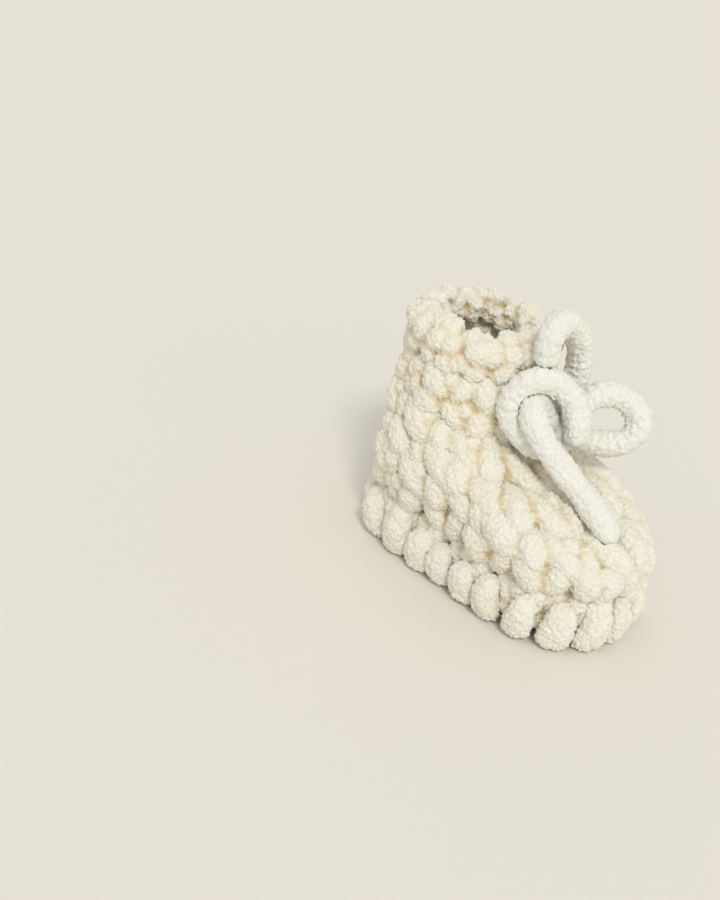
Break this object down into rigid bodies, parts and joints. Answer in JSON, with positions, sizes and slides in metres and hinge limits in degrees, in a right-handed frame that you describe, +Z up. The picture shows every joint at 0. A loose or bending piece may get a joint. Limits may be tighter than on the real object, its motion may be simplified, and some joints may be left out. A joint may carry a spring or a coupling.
{
  "type": "baby bootie",
  "caption": "Baby bootie crocheted in chunky cream chenille on a grey felt sole, whipstitched round its edge, with a chenille tie through the ankle that ends in a bow.",
  "frame": {"origin": "on the surface the bootie stands on, under the middle of its box without the bow's loops and tails", "axes": "+Z up, the toe points to -Y, +X is the wearer's left"},
  "size_m": [0.0674, 0.116, 0.1036],
  "materials": {
    "chenille_yarn": "matte chenille pile with a soft sheen",
    "tie_yarn": "matte chenille pile, fluffed out",
    "felt": "grey melange wool felt, matte and slightly hairy"
  },
  "bodies": {
    "bootie": {"felt_sole": "felt", "sole_stitch_01": "chenille_yarn", "sole_stitch_02": "chenille_yarn", "sole_stitch_03": "chenille_yarn", "sole_stitch_04": "chenille_yarn", "sole_stitch_05": "chenille_yarn", "sole_stitch_06": "chenille_yarn", "sole_stitch_07": "chenille_yarn", "sole_stitch_08": "chenille_yarn", "sole_stitch_09": "chenille_yarn", "sole_stitch_10": "chenille_yarn", "sole_stitch_11": "chenille_yarn", "sole_stitch_12": "chenille_yarn", "sole_stitch_13": "chenille_yarn", "sole_stitch_14": "chenille_yarn", "sole_stitch_15": "chenille_yarn", "sole_stitch_16": "chenille_yarn", "sole_stitch_17": "chenille_yarn", "sole_stitch_18": "chenille_yarn", "sole_stitch_19": "chenille_yarn", "sole_stitch_20": "chenille_yarn", "sole_stitch_21": "chenille_yarn", "sole_stitch_22": "chenille_yarn", "upper_round_1": "chenille_yarn", "upper_round_2": "chenille_yarn", "upper_round_3": "chenille_yarn", "upper_round_4": "chenille_yarn", "upper_round_5": "chenille_yarn", "upper_round_6": "chenille_yarn", "cuff_rim": "chenille_yarn", "ankle_drawstring": "tie_yarn", "bow_knot": "tie_yarn", "bow_loop_left": "tie_yarn"},
    "loop_right": {"bow_loop_right": "tie_yarn"},
    "tail_left": {"bow_tail_left": "tie_yarn"},
    "tail_right": {"bow_tail_right": "tie_yarn"}
  },
  "joints": [
    {"name": "loop_right_lift", "type": "hinge", "parent": "bootie", "child": "loop_right", "pos_m": [0, -0.0125, 0.061], "axis": [-0.9404, -0.3401, 0], "range_deg": [0, 20]},
    {"name": "tail_left_swing", "type": "hinge", "parent": "bootie", "child": "tail_left", "pos_m": [0, -0.0125, 0.061], "axis": [0, 0, 1], "range_deg": [0, 30]},
    {"name": "tail_right_flop", "type": "hinge", "parent": "bootie", "child": "tail_right", "pos_m": [0, -0.0125, 0.061], "axis": [0.4983, 0.867, 0], "range_deg": [0, 20]}
  ]
}
